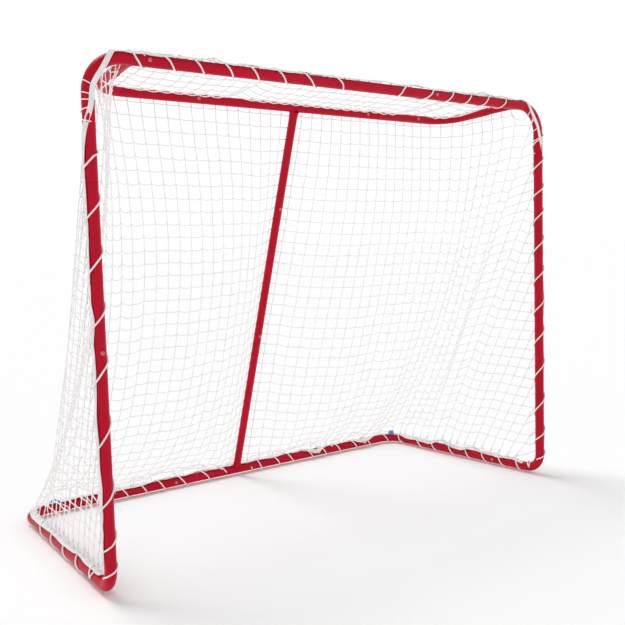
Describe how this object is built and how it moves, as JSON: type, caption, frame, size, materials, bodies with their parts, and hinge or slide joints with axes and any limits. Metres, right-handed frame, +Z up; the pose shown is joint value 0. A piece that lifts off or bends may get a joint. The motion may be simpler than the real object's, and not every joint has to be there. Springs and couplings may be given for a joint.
{
  "type": "hockey goal",
  "caption": "Free-standing hockey goal: bent red tube frame with a sloping centre brace and a top shelf, and a slack white net laced to it with cord",
  "frame": {"origin": "middle of the footprint, on the floor the goal stands on (centre of the bounding box's bottom)", "axes": "+X across the mouth to the right as seen from in front, +Y from the mouth to the back of the net, +Z up"},
  "size_m": [1.3896, 0.6589, 1.0968],
  "materials": {
    "frame": "glossy crimson powder coat",
    "sleeve": "glossy crimson powder coat, hidden inside the tubes",
    "screw": "zinc plated",
    "net": "knotted white twine",
    "cord": "braided white cord",
    "tape": "woven white webbing",
    "clip": "moulded blue"
  },
  "bodies": {
    "root": {"mouth_corner_left": "frame", "mouth_corner_right": "frame", "post_left": "frame", "post_right": "frame", "base_corner_left": "frame", "base_corner_right": "frame", "shelf_left": "frame", "shelf_right": "frame", "brace": "frame", "arm_stub_left": "frame", "arm_stub_right": "frame", "brace_stub_upper": "frame", "brace_stub_lower": "frame", "crossbar_sleeve": "sleeve", "post_sleeve_left": "sleeve", "post_sleeve_right": "sleeve", "rail_sleeve_left": "sleeve", "rail_sleeve_right": "sleeve", "rear_bar_sleeve": "sleeve", "shelf_sleeve": "sleeve", "brace_sleeve_upper": "sleeve", "brace_sleeve_lower": "sleeve", "screw_crossbar_left": "screw", "screw_crossbar_right": "screw", "screw_post_left": "screw", "screw_post_right": "screw", "screw_rail_left": "screw", "screw_rail_right": "screw", "screw_rear_bar": "screw", "screw_shelf_left": "screw", "screw_shelf_right": "screw", "screw_shelf_end": "screw", "screw_brace_upper": "screw", "screw_brace_lower": "screw", "net_top": "net", "net_back_left": "net", "net_back_right": "net", "net_side_left": "net", "net_side_right": "net", "lacing_crossbar_left": "cord", "lacing_crossbar_right": "cord", "lacing_post_left": "cord", "lacing_post_right": "cord", "lacing_rail_left": "cord", "lacing_rail_right": "cord", "lacing_rear_left": "cord", "lacing_rear_right": "cord", "mouth_tape_left": "tape", "mouth_tape_right": "tape", "floor_tape_left": "tape", "floor_tape_right": "tape", "blue_clip_left": "clip", "blue_clip_right": "clip"}
  },
  "joints": []
}
